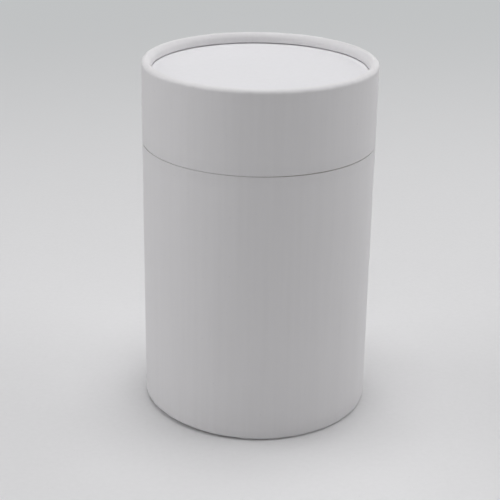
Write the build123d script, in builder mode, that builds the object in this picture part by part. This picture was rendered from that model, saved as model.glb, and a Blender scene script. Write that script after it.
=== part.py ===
from build123d import *
import os

# Round card tube with a lift-off lid: rolled edges, recessed discs and an inner neck

# Overall sizes, in millimetres
outer_diameter = 100.0
overall_height = 155.0
lid_height = 35.2

# Board: the wound walls, the die-cut discs and the hollow inside the rolled edges
tube_wall = 1.5
neck_wall = 1.3
disc_thickness = 2.0
curl_hollow_diameter = 1.7

# Fits: the lid runs on the neck, and the neck and the discs are glued in
seam_gap = 0.15
neck_clearance = 0.3
glue_gap = 0.1
neck_headroom = 4.4

# Edges: cut board is slightly dulled, a disc on its outward face, and the standing curl is pressed flat
cut_edge_bevel = 0.1
disc_edge_bevel = 0.3
neck_lead_in = 0.4
foot_press_depth = 0.15

# Rolled edges, in degrees: how far the board turns in, and the turn that each straight stroke draws
curl_turn = 270
curl_stroke_angle = 30
hollow_stroke_angle = 90

# Radii that follow from the sizes above
outer_radius = outer_diameter / 2
bore_radius = outer_radius - tube_wall
neck_radius = bore_radius - neck_clearance
disc_radius = bore_radius - glue_gap
curl_hollow_radius = curl_hollow_diameter / 2
curl_radius = curl_hollow_radius + tube_wall
curl_diameter = 2 * curl_radius
curl_center_radius = outer_radius - curl_radius

# Heights that follow, from the standing plane up
base_disc_bottom = curl_diameter - foot_press_depth + glue_gap
base_disc_top = base_disc_bottom + disc_thickness
lid_edge = overall_height - lid_height
body_edge = lid_edge - seam_gap
lid_disc_top = overall_height - curl_diameter - glue_gap
lid_disc_bottom = lid_disc_top - disc_thickness
neck_top = lid_disc_bottom - neck_headroom


def rolled_line(center, radius, stroke_angle):
    # One face of the rolled board, from the wall over the tip and round to the cut end
    turn = CenterArc(center, radius, 0, curl_turn, mode=Mode.PRIVATE)
    strokes = round(curl_turn / stroke_angle)
    return Polyline(*[turn @ (stroke / strokes) for stroke in range(strokes + 1)])


def curled_wall(section_plane, wall_height):
    # Half section of a wound wall, from its cut edge at y = 0 to the tip of the edge rolled inwards
    curl_center = (curl_center_radius, wall_height - curl_radius)
    with BuildSketch(section_plane) as section:
        with BuildLine():
            outside = rolled_line(curl_center, curl_radius, curl_stroke_angle)
            inside = rolled_line(curl_center, curl_hollow_radius, hollow_stroke_angle)
            Line(outside @ 1, inside @ 1)
            Polyline(inside @ 0, (bore_radius, 0), (outer_radius, 0), outside @ 0)
        make_face()
        chamfer(section.vertices().group_by(Axis.Y)[0], length=cut_edge_bevel)
    return section.sketch


# Body tube: stands on its rolled edge, with its cut edge at the top
body_section_plane = Plane(origin=(0, 0, body_edge), x_dir=(1, 0, 0), z_dir=(0, 1, 0))
with BuildPart() as body_tube:
    revolve(curled_wall(body_section_plane, body_edge + foot_press_depth), axis=Axis.Z)
    split(bisect_by=Plane.XY, keep=Keep.TOP)
body_tube.part.label = "body_tube"

# Base disc: lies inside the body, on the rolled edge
with BuildPart() as base_disc:
    with BuildSketch(Plane.XY.offset(base_disc_bottom)):
        Circle(disc_radius)
    extrude(amount=disc_thickness)
    chamfer(base_disc.edges().group_by(Axis.Z)[0], length=disc_edge_bevel)
base_disc.part.label = "base_disc"

# Neck tube: stands on the base disc, lines the body and reaches up into the lid
with BuildPart() as neck_tube:
    with BuildSketch(Plane.XY.offset(base_disc_top)):
        Circle(neck_radius)
        Circle(neck_radius - neck_wall, mode=Mode.SUBTRACT)
    extrude(amount=neck_top - base_disc_top)
    chamfer(neck_tube.edges().group_by(Axis.Z)[-1], length=neck_lead_in)
neck_tube.part.label = "neck_tube"

# Lid tube: its cut edge meets the body's at the seam, and its rolled edge is the top rim
lid_section_plane = Plane(origin=(0, 0, lid_edge), x_dir=(1, 0, 0), z_dir=(0, -1, 0))
with BuildPart() as lid_tube:
    revolve(curled_wall(lid_section_plane, lid_height), axis=Axis.Z)
lid_tube.part.label = "lid_tube"

# Lid disc: lies under the lid's rolled edge, so that the rim stands proud of it
with BuildPart() as lid_disc:
    with BuildSketch(Plane.XY.offset(lid_disc_bottom)):
        Circle(disc_radius)
    extrude(amount=disc_thickness)
    chamfer(lid_disc.edges().group_by(Axis.Z)[-1], length=disc_edge_bevel)
lid_disc.part.label = "lid_disc"

os.makedirs("parts", exist_ok=True)
for piece in (body_tube, base_disc, neck_tube, lid_tube, lid_disc):
    export_step(piece.part, f"parts/{piece.part.label}.step")
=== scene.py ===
import math
from collections import namedtuple

import bmesh
import bpy
from mathutils import Euler, Matrix, Vector


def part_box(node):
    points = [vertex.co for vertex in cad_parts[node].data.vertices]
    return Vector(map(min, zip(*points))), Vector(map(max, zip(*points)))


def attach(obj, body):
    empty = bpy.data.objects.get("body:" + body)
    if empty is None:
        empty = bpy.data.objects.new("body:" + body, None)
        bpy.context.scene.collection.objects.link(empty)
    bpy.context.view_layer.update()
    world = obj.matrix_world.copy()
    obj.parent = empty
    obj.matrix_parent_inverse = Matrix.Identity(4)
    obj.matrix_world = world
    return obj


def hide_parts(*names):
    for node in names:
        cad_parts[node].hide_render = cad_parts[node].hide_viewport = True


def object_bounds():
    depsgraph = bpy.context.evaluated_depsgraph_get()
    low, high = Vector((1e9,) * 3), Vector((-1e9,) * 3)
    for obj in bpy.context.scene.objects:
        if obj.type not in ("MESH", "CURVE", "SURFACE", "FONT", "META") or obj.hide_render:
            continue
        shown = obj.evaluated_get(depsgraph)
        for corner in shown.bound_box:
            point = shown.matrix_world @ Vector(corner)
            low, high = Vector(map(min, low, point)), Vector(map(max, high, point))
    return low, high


# White card tube with a lift-off lid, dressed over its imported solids

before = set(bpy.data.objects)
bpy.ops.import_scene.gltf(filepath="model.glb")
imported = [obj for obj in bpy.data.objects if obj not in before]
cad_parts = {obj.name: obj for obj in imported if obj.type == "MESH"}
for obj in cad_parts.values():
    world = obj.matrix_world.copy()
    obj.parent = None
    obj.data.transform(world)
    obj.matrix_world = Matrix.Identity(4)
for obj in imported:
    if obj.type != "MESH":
        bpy.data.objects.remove(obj)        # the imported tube: its bodies, nodes, joints and record
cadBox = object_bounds()
scene = bpy.context.scene
scene.view_settings.view_transform = "Standard"


# Small helpers for nodes

def addNode(tree, kind, inputs=None, **settings):
    # sockets given in inputs are linked, plain values are set
    node = tree.nodes.new(kind)
    for key, value in settings.items():
        setattr(node, key, value)
    for key, value in (inputs or {}).items():
        if isinstance(value, bpy.types.NodeSocket):
            tree.links.new(value, node.inputs[key])
        else:
            node.inputs[key].default_value = value
    return node


def calc(tree, operation, first, second=0.0):
    return addNode(tree, "ShaderNodeMath", {0: first, 1: second}, operation=operation).outputs[0]


def centred(tree, value, amount):
    # a 0 to 1 pattern as a swing of plus or minus half the amount
    return calc(tree, "MULTIPLY", calc(tree, "SUBTRACT", value, 0.5), amount)


def scaled(tree, color, factor):
    node = addNode(tree, "ShaderNodeVectorMath", {0: color, "Scale": factor}, operation="SCALE")
    return node.outputs[0]


def objectCoords(tree):
    return addNode(tree, "ShaderNodeTexCoord").outputs["Object"]


def splitCoords(tree):
    return addNode(tree, "ShaderNodeSeparateXYZ", {0: objectCoords(tree)}).outputs


def noise(tree, pattern):
    # 0 to 1 over the piece; a stretch under 1 draws the pattern out along that side
    coords = objectCoords(tree)
    if "stretch" in pattern:
        stretched = {"Vector": coords, "Scale": pattern["stretch"]}
        coords = addNode(tree, "ShaderNodeMapping", stretched).outputs[0]
    values = {"Vector": coords, "Scale": pattern["scale"], "Detail": pattern["detail"]}
    return addNode(tree, "ShaderNodeTexNoise", values).outputs[0]


def groupTree(name, inputs, outputs):
    tree = bpy.data.node_groups.new(name, "ShaderNodeTree")
    for label, kind in inputs.items():
        tree.interface.new_socket(name=label, in_out="INPUT", socket_type="NodeSocket" + kind)
    for label, kind in outputs.items():
        tree.interface.new_socket(name=label, in_out="OUTPUT", socket_type="NodeSocket" + kind)
    given = addNode(tree, "NodeGroupInput").outputs
    result = addNode(tree, "NodeGroupOutput").inputs
    return tree, given, result


# Effects that several materials share

paperGrain = {
    "cloud": {"scale": 60, "detail": 2},                               # soft patches about 17 mm across
    "tooth": {"scale": 2600, "detail": 3},                             # uncoated paper, about 0.4 mm
    "fibre": {"scale": 900, "detail": 4, "stretch": (1, 1, 0.35)},     # about 1 mm, drawn out upwards
    "streak": {"scale": 420, "detail": 2, "stretch": (1, 1, 0.03)},    # faint, 2 mm wide, up the tube
    "fleckScale": 180,          # a stray dark fibre every few millimetres
    "fleckSize": 0.06,          # as a share of that spacing
    "toothShare": 0.6,          # of the tooth in the paper's relief, beside the fibres
    "roughSwing": 0.12,
}


def makePaperTooth(spec):
    tree, given, result = groupTree(
        "paperTooth",
        {"Tint": "Color", "Cloud": "Float", "Fibre": "Float", "Streak": "Float", "Fleck": "Float",
         "Roughness": "Float"},
        {"Color": "Color", "Roughness": "Float", "Height": "Float"})
    tooth = noise(tree, spec["tooth"])
    fibre = noise(tree, spec["fibre"])
    cloudSwing = centred(tree, noise(tree, spec["cloud"]), given["Cloud"])
    streakSwing = centred(tree, noise(tree, spec["streak"]), given["Streak"])
    swing = calc(tree, "ADD", cloudSwing, centred(tree, fibre, given["Fibre"]))
    swing = calc(tree, "ADD", swing, streakSwing)
    cells = addNode(tree, "ShaderNodeTexVoronoi",
                    {"Vector": objectCoords(tree), "Scale": spec["fleckScale"]})
    fleck = addNode(tree, "ShaderNodeMapRange",
                    {"Value": cells.outputs["Distance"], "From Min": 0, "From Max": spec["fleckSize"],
                     "To Min": given["Fleck"], "To Max": 0}).outputs[0]
    shade = calc(tree, "ADD", calc(tree, "SUBTRACT", swing, fleck), 1)
    tree.links.new(scaled(tree, given["Tint"], shade), result["Color"])
    rough = calc(tree, "ADD", given["Roughness"], centred(tree, tooth, spec["roughSwing"]))
    tree.links.new(rough, result["Roughness"])
    height = calc(tree, "ADD", calc(tree, "MULTIPLY", tooth, spec["toothShare"]), fibre)
    tree.links.new(height, result["Height"])
    return tree


edgeTouch = {
    "reach": 0.006,
    "patches": {"scale": 140, "detail": 3},
}


def makeEdgeRub(spec):
    # faint grey where hands and table tops touch, near two heights and broken up by soft patches
    tree, given, result = groupTree(
        "edgeRub",
        {"Color": "Color", "Low": "Float", "High": "Float", "Amount": "Float"},
        {"Color": "Color"})
    height = splitCoords(tree)["Z"]
    shares = []
    for edge in ("Low", "High"):
        away = calc(tree, "ABSOLUTE", calc(tree, "SUBTRACT", height, given[edge]))
        shares.append(calc(tree, "SUBTRACT", 1, calc(tree, "DIVIDE", away, spec["reach"])))
    mask = calc(tree, "MAXIMUM", calc(tree, "MAXIMUM", *shares), 0)
    rubbed = calc(tree, "MULTIPLY", mask, noise(tree, spec["patches"]))
    kept = calc(tree, "SUBTRACT", 1, calc(tree, "MULTIPLY", rubbed, given["Amount"]))
    tree.links.new(scaled(tree, given["Color"], kept), result["Color"])
    return tree


cutEdge = {
    "ply": 0.0004,          # thickness of one layer of the laminated board
    "glueShare": 0.18,      # part of a ply that shows as the glue line
    "ragged": {"scale": 700, "detail": 3},
    "raggedSwing": 0.35,    # in plies
    "fluff": {"scale": 1900, "detail": 4},
    "fluffSwing": 0.3,      # in brightness
}


def makeBoardPlies(spec):
    # layers of a cut board edge, where Depth runs through the board in metres
    tree, given, result = groupTree(
        "boardPlies",
        {"Depth": "Float", "Core": "Color", "Glue": "Color"},
        {"Color": "Color", "Height": "Float"})
    ragged = centred(tree, noise(tree, spec["ragged"]), spec["raggedSwing"])
    layers = calc(tree, "ADD", calc(tree, "DIVIDE", given["Depth"], spec["ply"]), ragged)
    glueLine = calc(tree, "LESS_THAN", calc(tree, "FRACT", layers), spec["glueShare"])
    fluff = noise(tree, spec["fluff"])
    core = scaled(tree, given["Core"], calc(tree, "ADD", centred(tree, fluff, spec["fluffSwing"]), 1))
    # in a colour Mix, inputs 0, 6 and 7 are the factor and the two colours, and output 2 is the result
    mixed = addNode(tree, "ShaderNodeMix", {0: glueLine, 6: core, 7: given["Glue"]}, data_type="RGBA")
    tree.links.new(mixed.outputs[2], result["Color"])
    tree.links.new(calc(tree, "SUBTRACT", fluff, glueLine), result["Height"])
    return tree


paperTooth = makePaperTooth(paperGrain)
edgeRub = makeEdgeRub(edgeTouch)
boardPlies = makeBoardPlies(cutEdge)
print("shared effects:", ", ".join(group.name for group in bpy.data.node_groups))


# Materials

whitePaper = {
    "cloud": 0.012, "fibre": 0.014, "streak": 0.05, "fleck": 0.12,     # share of brightness
    "specular": 0.5,
    "bump": 0.25, "bumpDepth": 0.00003,
}
cutBoard = {
    "core": (0.6, 0.57, 0.52, 1), "glue": (0.42, 0.38, 0.33, 1),
    "roughness": 0.9,
    "bump": 0.5, "bumpDepth": 0.00008,
}


def newMaterial(name):
    material = bpy.data.materials.new(name)
    material.use_nodes = True
    return material, material.node_tree, material.node_tree.nodes["Principled BSDF"]


def addBump(tree, shader, height, spec):
    bump = addNode(tree, "ShaderNodeBump",
                   {"Strength": spec["bump"], "Distance": spec["bumpDepth"], "Height": height})
    tree.links.new(bump.outputs["Normal"], shader.inputs["Normal"])


def paperMaterial(name, look, rubbed=None):
    # white paper of its own tint, with handling marks at the two heights in rubbed
    material, tree, shader = newMaterial(name)
    paper = addNode(tree, "ShaderNodeGroup",
                    {"Tint": look["tint"], "Cloud": whitePaper["cloud"], "Fibre": whitePaper["fibre"],
                     "Streak": whitePaper["streak"], "Fleck": whitePaper["fleck"],
                     "Roughness": look["roughness"]}, node_tree=paperTooth)
    color = paper.outputs["Color"]
    if rubbed:
        marks = {"Color": color, "Low": rubbed[0], "High": rubbed[1], "Amount": look["rub"]}
        color = addNode(tree, "ShaderNodeGroup", marks, node_tree=edgeRub).outputs["Color"]
    tree.links.new(color, shader.inputs["Base Color"])
    tree.links.new(paper.outputs["Roughness"], shader.inputs["Roughness"])
    shader.inputs["Specular IOR Level"].default_value = whitePaper["specular"]
    addBump(tree, shader, paper.outputs["Height"], whitePaper)
    return material


def cutMaterial(name, depthOf):
    # cut board that shows its layers; depthOf gives the depth through the board in that tree
    material, tree, shader = newMaterial(name)
    layers = addNode(tree, "ShaderNodeGroup",
                     {"Depth": depthOf(tree), "Core": cutBoard["core"], "Glue": cutBoard["glue"]},
                     node_tree=boardPlies)
    tree.links.new(layers.outputs["Color"], shader.inputs["Base Color"])
    shader.inputs["Roughness"].default_value = cutBoard["roughness"]
    addBump(tree, shader, layers.outputs["Height"], cutBoard)
    return material


def radialDepth(tree):
    sides = splitCoords(tree)
    squares = [calc(tree, "MULTIPLY", sides[side], sides[side]) for side in ("X", "Y")]
    return calc(tree, "SQRT", calc(tree, "ADD", *squares))


def uprightDepth(tree):
    return splitCoords(tree)["Z"]


# Round meshes: a section of points is turned about the tube's axis

sectionPoint = namedtuple("sectionPoint", "place normal finish")     # both vectors are (radius, height)
finishes = ("wrap", "liner", "cut")      # order of the material slots
mergeDistance = 1e-7                     # joins the points in the middle of a disc


def arc(center, radius, start, stop, steps, finish, inside=False, square=2):
    # round stretch of a section, in degrees; an inside face has its normal towards the center,
    # and a square over 2 presses the round a little flat at its four sides
    points = []
    for step in range(steps + 1):
        turn = math.radians(start + (stop - start) * step / steps)
        sides = Vector((math.cos(turn), math.sin(turn)))
        out = Vector([math.copysign(abs(side) ** (2 / square), side) for side in sides])
        normal = Vector([math.copysign(abs(side) ** (2 - 2 / square), side) for side in sides])
        normal.normalize()
        points.append(sectionPoint(center + radius * out, -normal if inside else normal, finish))
    return points


def straight(start, stop, normal, steps, finish):
    # straight stretch between two corners that are already there, finer towards its ends
    points = []
    for step in range(1, steps):
        share = 0.5 - 0.5 * math.cos(math.pi * step / steps)
        points.append(sectionPoint(Vector(start).lerp(Vector(stop), share), Vector(normal), finish))
    return points


def ease(value, low, high):
    # 0 up to low, 1 from high on, and a soft rise between them
    share = min(max((value - low) / (high - low), 0), 1)
    return share * share * (3 - 2 * share)


def ripple(angle, counts):
    # 0 to 1, from whole numbers of waves round the tube, each with its own fixed phase
    total = sum(math.sin(count * angle + count * count) for count in counts)
    return 0.5 + 0.5 * total / len(counts)


def towards(angle, side, narrowness):
    # 1 on that side of the tube, in degrees, and 0 on the other; a high narrowness keeps it local
    return (0.5 + 0.5 * math.cos(angle - math.radians(side))) ** narrowness


def spin(name, section, angles, ringAt, materials, closed=True):
    # ringAt(angle) returns a function that gives a section point's radius and height at that angle
    rows = len(section)
    vertices, faces, slots = [], [], []
    for column, angle in enumerate(angles):
        placeAt = ringAt(angle)
        for point in section:
            radius, height = placeAt(point)
            vertices.append((radius * math.cos(angle), radius * math.sin(angle), height))
        here = column * rows
        there = (column + 1) % len(angles) * rows
        for row in range(rows if closed else rows - 1):
            above = (row + 1) % rows
            faces.append((here + row, there + row, there + above, here + above))
            slots.append(finishes.index(section[above].finish))
    mesh = bpy.data.meshes.new(name)
    mesh.from_pydata(vertices, [], faces)
    mesh.polygons.foreach_set("material_index", slots)
    mesh.polygons.foreach_set("use_smooth", [True] * len(faces))
    shaped = bmesh.new()
    shaped.from_mesh(mesh)
    bmesh.ops.remove_doubles(shaped, verts=shaped.verts, dist=mergeDistance)
    bmesh.ops.recalc_face_normals(shaped, faces=shaped.faces)
    shaped.to_mesh(mesh)
    shaped.free()
    for material in materials:
        mesh.materials.append(material)
    piece = bpy.data.objects.new(name, mesh)
    scene.collection.objects.link(piece)
    return piece


def mountPiece(piece, spec):
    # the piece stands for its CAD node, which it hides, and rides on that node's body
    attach(piece, spec["body"])
    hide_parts(spec["node"])
    print("piece:", piece.name, len(piece.data.polygons), "faces on", spec["body"])


def roundAngles(count, marks=()):
    # even steps round the tube, with extra ones where the paper's edge needs them
    return sorted({2 * math.pi * step / count for step in range(count)} | set(marks))


# Paper lap: where the wrap meets itself, one straight seam up the tube

lap = {
    "paper": 0.00008,       # thickness of the wrap, the height of the step
    "width": 0.009,         # how far the wrap lies over itself
    "edge": 0.00008,        # run of the step at the free edge
    "fade": 0.0012,         # soft rise over the covered edge
}


def lapMarks(spec, radius):
    free = math.radians(spec["lapAngle"])
    runs = (0, lap["edge"], -lap["edge"], -lap["width"], -lap["width"] - lap["fade"])
    return [free + run / radius for run in runs]


def lapSink(angle, spec, radius):
    # the paper lies this far below the lap, and not at all on it
    along = (angle - math.radians(spec["lapAngle"])) * radius
    if along > 0:
        return lap["paper"] * ease(along, 0, lap["edge"])
    return lap["paper"] * (1 - ease(along, -lap["width"] - lap["fade"], -lap["width"]))


# Curled tubes: the lid's wall and the body's wall

card = {
    "wall": 0.0015,               # wound board with its wrap
    "curlHollow": 0.00085,        # radius of the hollow in a rolled edge
    "cutRound": 0.0001,           # dulled corner of a cut edge
    "columns": 540,               # steps round the tube
    "wallRows": 16, "boreRows": 10,                            # steps along the section
    "rollRows": 16, "rollEndRows": 3, "hollowRows": 14,        # rollRows in each quarter
    "cornerRows": 4, "cutRows": 4,
}
foot = {
    "press": 0.00015,             # how far the standing curl is pressed flat
    "lift": 0.0011,               # it doesn't quite touch the ground on one side
    "liftSide": 215, "liftNarrowness": 8,
}
curlCreases = {
    "waveDepth": 0.0002, "waves": (3, 7, 11, 19, 31),             # the roll isn't quite even
    "pleatDepth": 0.00005, "pleats": (61, 83, 97, 113, 131),      # paper gathered on its inner side
    "from": -0.3, "to": 0.9,                                      # where both set in, by its normal
    "cornerDepth": 0.0003, "corners": (9, 17, 26, 41, 67),        # dents in its outer corner
}
seamEdge = {
    "proud": 0.000069,                               # the wrap's own edge stands past the cut board
    "wobble": 0.00001, "waves": (5, 9, 14, 23),      # the knife's cut isn't quite straight
    "openings": (                                    # each edge draws back a little on these sides
        {"side": 307, "width": 0.000085, "narrowness": 10},
        {"side": 196, "width": 0.00013, "narrowness": 40},
    ),
    "reach": 0.003,                                  # how far along the wall this is felt
}


def rollSection(center, curl, squares, lean):
    # the roll's outside by quarters, from the wall over the tip; its inner side leans out at the tip
    roll = []
    for quarter, square in enumerate(squares):
        start = 90 * quarter
        points = arc(center, curl, start, start + 90, card["rollRows"], "wrap", square=square)
        for point in points[quarter > 0:]:       # a quarter's first point is the last one's end
            inward = max(center.x - point.place.x, 0) / curl
            shove = lean * inward * (point.place.y - center.y + curl)
            roll.append(point._replace(place=point.place + Vector((shove, 0))))
    return roll


def curledSection(radius, reach, spec):
    # closed section, from the cut edge at height 0 to the tip of the curl at height reach
    wall, hollow, corner = card["wall"], card["curlHollow"], card["cutRound"]
    curl, bore = hollow + wall, radius - wall
    center = Vector((radius - curl, reach - curl))
    endOutside, endInside = center - Vector((0, curl)), center - Vector((0, hollow))
    section = arc(Vector((radius - corner, corner)), corner, -90, 0, card["cornerRows"], "wrap")
    section += straight((radius, corner), (radius, center.y), (1, 0), card["wallRows"], "wrap")
    section += rollSection(center, curl, spec["rollSquares"], spec["rollLean"])
    section += straight(endOutside, endInside, (1, 0), card["rollEndRows"], "cut")
    section += arc(center, hollow, 270, 0, card["hollowRows"], "liner", inside=True)
    section += straight((bore, center.y), (bore, corner), (-1, 0), card["boreRows"], "liner")
    section += arc(Vector((bore + corner, corner)), corner, 180, 270, card["cornerRows"], "cut")
    section += straight((bore + corner, 0), (radius - corner, 0), (0, -1), card["cutRows"], "cut")
    return section


def curledTube(spec, materials):
    low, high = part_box(spec["node"])
    radius = high.x
    press = 0 if spec["curlUp"] else foot["press"]
    footLift = 0 if spec["curlUp"] else foot["lift"]
    reach = high.z - low.z + press
    rollHeight = 2 * (card["curlHollow"] + card["wall"])
    section = curledSection(radius, reach, spec)

    def ringAt(angle):
        sink = lapSink(angle, spec, radius)
        crease = spec["rollPress"] + curlCreases["waveDepth"] * ripple(angle, curlCreases["waves"])
        crease += curlCreases["pleatDepth"] * ripple(angle, curlCreases["pleats"])
        dent = curlCreases["cornerDepth"] * ripple(angle, curlCreases["corners"])
        gap = seamEdge["wobble"] * ripple(angle + spec["edgePhase"], seamEdge["waves"])
        gap -= seamEdge["proud"]
        for opening in seamEdge["openings"]:
            gap += opening["width"] * towards(angle, opening["side"], opening["narrowness"])
        lift = footLift * towards(angle, foot["liftSide"], foot["liftNarrowness"])

        def placeAt(point):
            place = point.place.copy()
            if point.finish == "wrap":
                rolled = ease(-point.normal.x, curlCreases["from"], curlCreases["to"])
                corner = 2 * max(point.normal.x, 0) * max(point.normal.y, 0)     # 1 at 45 degrees
                place -= point.normal * (sink * (1 - rolled) + crease * rolled + dent * corner)
            place.y += gap * (1 - ease(point.place.y, 0, seamEdge["reach"]))
            place.y -= lift * ease(point.place.y, reach - rollHeight, reach)
            return place.x, low.z + place.y if spec["curlUp"] else max(high.z - place.y, low.z)
        return placeAt

    angles = roundAngles(card["columns"], lapMarks(spec, radius))
    piece = spin(spec["name"], section, angles, ringAt, materials)
    mountPiece(piece, spec)
    return piece


seamHeight = 0.5 * (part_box("lid_tube")[0].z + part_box("body_tube")[1].z)
floorHeight, topHeight = cadBox[0].z, cadBox[1].z
wrapLook = {"tint": (0.795, 0.784, 0.796, 1), "roughness": 0.62, "rub": 0.05}
linerLook = {"tint": (0.77, 0.768, 0.76, 1), "roughness": 0.7}
lidWrap = paperMaterial("lidWrap", wrapLook, (seamHeight, topHeight))
bodyWrap = paperMaterial("bodyWrap", wrapLook, (floorHeight, seamHeight))
linerPaper = paperMaterial("linerPaper", linerLook)
wallCut = cutMaterial("wallCut", radialDepth)
discCut = cutMaterial("discCut", uprightDepth)

lidShell = {
    "name": "lidShell", "node": "lid_tube", "body": "lid", "slot": "paper_wrap",
    "curlUp": True,
    "rollSquares": (3.1, 1.9, 4.5),     # of the roll's quarters, from the wall over the tip
    "rollLean": 0.14,
    "rollPress": 0.0001,                # its inner side is pressed in by this all round
    "lapAngle": 118,
    "edgePhase": 0.0,                   # so that the lid and the body aren't cut alike
}
bodyShell = {
    "name": "bodyShell", "node": "body_tube", "body": "body", "slot": "paper_wrap",
    "curlUp": False,
    "rollSquares": (3, 2.2, 2),
    "rollLean": 0,
    "rollPress": 0,
    "lapAngle": 97,
    "edgePhase": 1.7,
}
curledTube(lidShell, (lidWrap, linerPaper, wallCut))
curledTube(bodyShell, (bodyWrap, linerPaper, wallCut))


# Discs: die-cut rounds of board, soft at the outward edge where the die pressed in

discBoard = {
    "outerRound": 0.0003, "innerRound": 0.0001,
    "wave": 0.00004, "waves": (2, 3, 5),      # the outward face isn't quite flat
    "columns": 288,
    "rings": 22, "outerRows": 6, "edgeRows": 6, "innerRows": 4,
}
discLook = {"tint": (0.8, 0.793, 0.816, 1), "roughness": 0.6}
discPaper = paperMaterial("discPaper", discLook)


def discSection(radius, thick):
    # open section, from the middle of the outward face at the top round to the middle of the inner face
    outer, inner, rings = discBoard["outerRound"], discBoard["innerRound"], discBoard["rings"]
    outerCenter = Vector((radius - outer, thick - outer))
    innerCenter = Vector((radius - inner, inner))
    section = [sectionPoint(Vector((0, thick)), Vector((0, 1)), "wrap")]
    section += straight((0, thick), (radius - outer, thick), (0, 1), rings, "wrap")
    section += arc(outerCenter, outer, 90, 0, discBoard["outerRows"], "wrap")
    section += straight((radius, thick - outer), (radius, inner), (1, 0), discBoard["edgeRows"], "cut")
    section += arc(innerCenter, inner, 0, -90, discBoard["innerRows"], "cut")
    section += straight((radius - inner, 0), (0, 0), (0, -1), rings, "liner")
    section += [sectionPoint(Vector((0, 0)), Vector((0, -1)), "liner")]
    return section


def boardDisc(spec, materials):
    low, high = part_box(spec["node"])
    radius = high.x
    section = discSection(radius, high.z - low.z)

    def ringAt(angle):
        wave = discBoard["wave"] * ripple(angle, discBoard["waves"])

        def placeAt(point):
            out = point.place.x / radius
            onFace = point.normal.y > 0.5                          # the outward face with its soft edge
            dip = wave * 4 * out * (1 - out) if onFace else 0      # deepest halfway out
            height = point.place.y - dip
            return point.place.x, low.z + height if spec["faceUp"] else high.z - height
        return placeAt

    angles = roundAngles(discBoard["columns"])
    piece = spin(spec["name"], section, angles, ringAt, materials, closed=False)
    mountPiece(piece, spec)
    return piece


lidRound = {
    "name": "lidRound", "node": "lid_disc", "body": "lid", "slot": "disc_board",
    "faceUp": True,
}
baseRound = {
    "name": "baseRound", "node": "base_disc", "body": "body", "slot": "disc_board",
    "faceUp": False,
}
boardDisc(lidRound, (discPaper, linerPaper, discCut))
boardDisc(baseRound, (discPaper, linerPaper, discCut))


# Neck: the thinner tube that the lid slides on

neckSleeve = {
    "name": "neckSleeve", "node": "neck_tube", "body": "body", "slot": "neck_board",
    "wall": 0.0013,
    "leadIn": 0.0004,           # soft outer edge that finds its way into the lid
    "innerRound": 0.0003,
    "lapAngle": 62,
    "columns": 360,
    "wallRows": 18, "leadRows": 6, "cutRows": 4, "innerRows": 5,
}
neckLook = {"tint": (0.77, 0.768, 0.76, 1), "roughness": 0.66, "rub": 0.05}


def neckSection(radius, reach, spec):
    # closed section, up the outside, over the cut edge and down the bore
    bore, lead, inner = radius - spec["wall"], spec["leadIn"], spec["innerRound"]
    leadCenter = Vector((radius - lead, reach - lead))
    innerCenter = Vector((bore + inner, reach - inner))
    section = [sectionPoint(Vector((radius, 0)), Vector((1, 0)), "wrap")]
    section += straight((radius, 0), (radius, reach - lead), (1, 0), spec["wallRows"], "wrap")
    section += arc(leadCenter, lead, 0, 90, spec["leadRows"], "wrap")
    section += straight((radius - lead, reach), (bore + inner, reach), (0, 1), spec["cutRows"], "cut")
    section += arc(innerCenter, inner, 90, 180, spec["innerRows"], "cut")
    section += straight((bore, reach - inner), (bore, 0), (-1, 0), spec["wallRows"], "liner")
    section += [sectionPoint(Vector((bore, 0)), Vector((-1, 0)), "liner")]
    return section


def neckTube(spec, materials):
    low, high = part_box(spec["node"])
    bore = high.x - spec["wall"]
    section = neckSection(high.x, high.z - low.z, spec)

    def ringAt(angle):
        sink = lapSink(angle, spec, bore)

        def placeAt(point):
            place = point.place.copy()
            if point.finish == "liner":
                place.x += sink            # the liner's own lap shows inside the tube
            return place.x, low.z + place.y
        return placeAt

    angles = roundAngles(spec["columns"], lapMarks(spec, bore))
    piece = spin(spec["name"], section, angles, ringAt, materials)
    mountPiece(piece, spec)
    return piece


neckPaper = paperMaterial("neckPaper", neckLook, (seamHeight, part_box("neck_tube")[1].z))
neckTube(neckSleeve, (neckPaper, linerPaper, wallCut))


# Floor and light

backdropTone = (0.533, 0.546, 0.552, 1)
paleFloor = {
    "size": 8.0,
    "tint": (0.765, 0.762, 0.772, 1), "roughness": 0.75,
    "fadeFrom": 0.15, "fadeTo": 1.0,      # from the tube out to the even backdrop, in metres
}


def seenDirectly(tree):
    # 1 for what the camera sees, also in a reflection or through glass, and 0 for light on things
    rays = addNode(tree, "ShaderNodeLightPath").outputs
    mirrored = calc(tree, "MAXIMUM", rays["Is Glossy Ray"], rays["Is Transmission Ray"])
    return calc(tree, "MAXIMUM", rays["Is Camera Ray"], mirrored)


def floorMaterial(spec):
    # white paper that carries the tube's shadow and runs out into the backdrop's tone
    material = paperMaterial("floorPaper", spec)
    tree = material.node_tree
    fade = {"Value": radialDepth(tree), "From Min": spec["fadeFrom"], "From Max": spec["fadeTo"]}
    away = addNode(tree, "ShaderNodeMapRange", fade, interpolation_type="SMOOTHSTEP").outputs[0]
    paper = tree.nodes["Principled BSDF"].outputs[0]
    even = addNode(tree, "ShaderNodeEmission", {"Color": backdropTone}).outputs[0]
    share = calc(tree, "MULTIPLY", away, seenDirectly(tree))
    faded = addNode(tree, "ShaderNodeMixShader", {0: share, 1: paper, 2: even})
    tree.links.new(faded.outputs[0], tree.nodes["Material Output"].inputs["Surface"])
    return material


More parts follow.
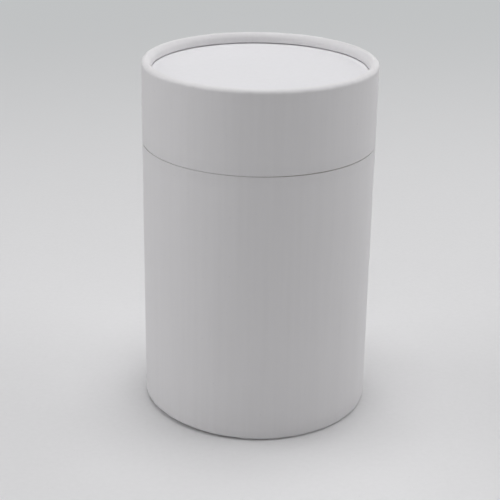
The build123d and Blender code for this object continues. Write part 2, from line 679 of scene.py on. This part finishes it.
def makeFloor(spec):
    half = spec["size"] / 2
    corners = [(half * x, half * y, floorHeight) for x, y in ((-1, -1), (1, -1), (1, 1), (-1, 1))]
    mesh = bpy.data.meshes.new("paleFloor")
    mesh.from_pydata(corners, [], [(0, 1, 2, 3)])
    mesh.materials.append(floorMaterial(spec))
    floor = bpy.data.objects.new("paleFloor", mesh)
    scene.collection.objects.link(floor)


makeFloor(paleFloor)

softLight = {      # square panels that face the tube, in metres and watts
    "overhead": {"place": (0.0, 0.0, 1.8), "size": 0.7, "power": 11.2},
    "spot": {"place": (0.0, 0.0, 1.8), "size": 0.2, "power": 3.5},
    "overheadBack": {"place": (0.0, 0.4, 1.8), "size": 0.4, "power": 2.65},
    "left": {"place": (-1.25, 0.1, 0.85), "size": 0.9, "power": 5.5},
    "leftFront": {"place": (-1.1, -0.8, 0.6), "size": 1.0, "power": 1.85},
    "right": {"place": (1.3, 0.1, 0.7), "size": 0.9, "power": 5.2},
    "rightBack": {"place": (1.0, 1.1, 0.7), "size": 1.0, "power": 4.2},
    "front": {"place": (0.0, -1.8, 0.7), "size": 1.4, "power": 3.95},
}
lightAim = Vector((0, 0, topHeight / 2))


def makeLights(spec):
    for name, lamp in spec.items():
        data = bpy.data.lights.new(name, "AREA")
        data.size = lamp["size"]
        data.energy = lamp["power"]
        panel = bpy.data.objects.new(name, data)
        panel.location = lamp["place"]
        panel.rotation_euler = (lightAim - panel.location).to_track_quat("-Z", "Y").to_euler()
        panel.visible_camera = False
        scene.collection.objects.link(panel)


def makeWorld():
    # a pale studio beyond the floor, in one even tone; the lamps give the light
    world = bpy.data.worlds.new("studio")
    world.use_nodes = True
    scene.world = world
    backdrop = world.node_tree.nodes["Background"].inputs
    backdrop["Color"].default_value = backdropTone
    world.node_tree.links.new(seenDirectly(world.node_tree), backdrop["Strength"])


makeLights(softLight)
makeWorld()
print("lights:", ", ".join(softLight))


# Camera, at the photograph's viewing angle

photoView = {
    "sensor": 36, "lens": 95.1,       # mm
    "nearest": 0.01,                  # m, so that nothing close is cut away
    "distance": 0.5872,               # m, from the point on the tube's axis that it circles
    "aimHeight": 0.0679,              # m, of that point
    "elevation": 22.47,               # degrees
    "yaw": 0.302, "roll": 0.998,      # the hand-held camera's small turns
}


def placeCamera(spec):
    lens = bpy.data.cameras.new("photoLens")
    lens.sensor_width = spec["sensor"]
    lens.lens = spec["lens"]
    lens.clip_start = spec["nearest"]
    camera = bpy.data.objects.new("photoCamera", lens)
    rise = math.radians(spec["elevation"])
    back = Vector((0, -math.cos(rise), math.sin(rise)))
    camera.location = Vector((0, 0, spec["aimHeight"])) + back * spec["distance"]
    level = Euler((math.pi / 2 - rise, 0, 0)).to_matrix()
    yaw = Matrix.Rotation(math.radians(spec["yaw"]), 3, "Y")
    roll = Matrix.Rotation(math.radians(spec["roll"]), 3, "Z")
    camera.rotation_euler = (level @ (yaw @ roll)).to_euler()
    scene.collection.objects.link(camera)
    scene.camera = camera


placeCamera(photoView)
print("camera placed")
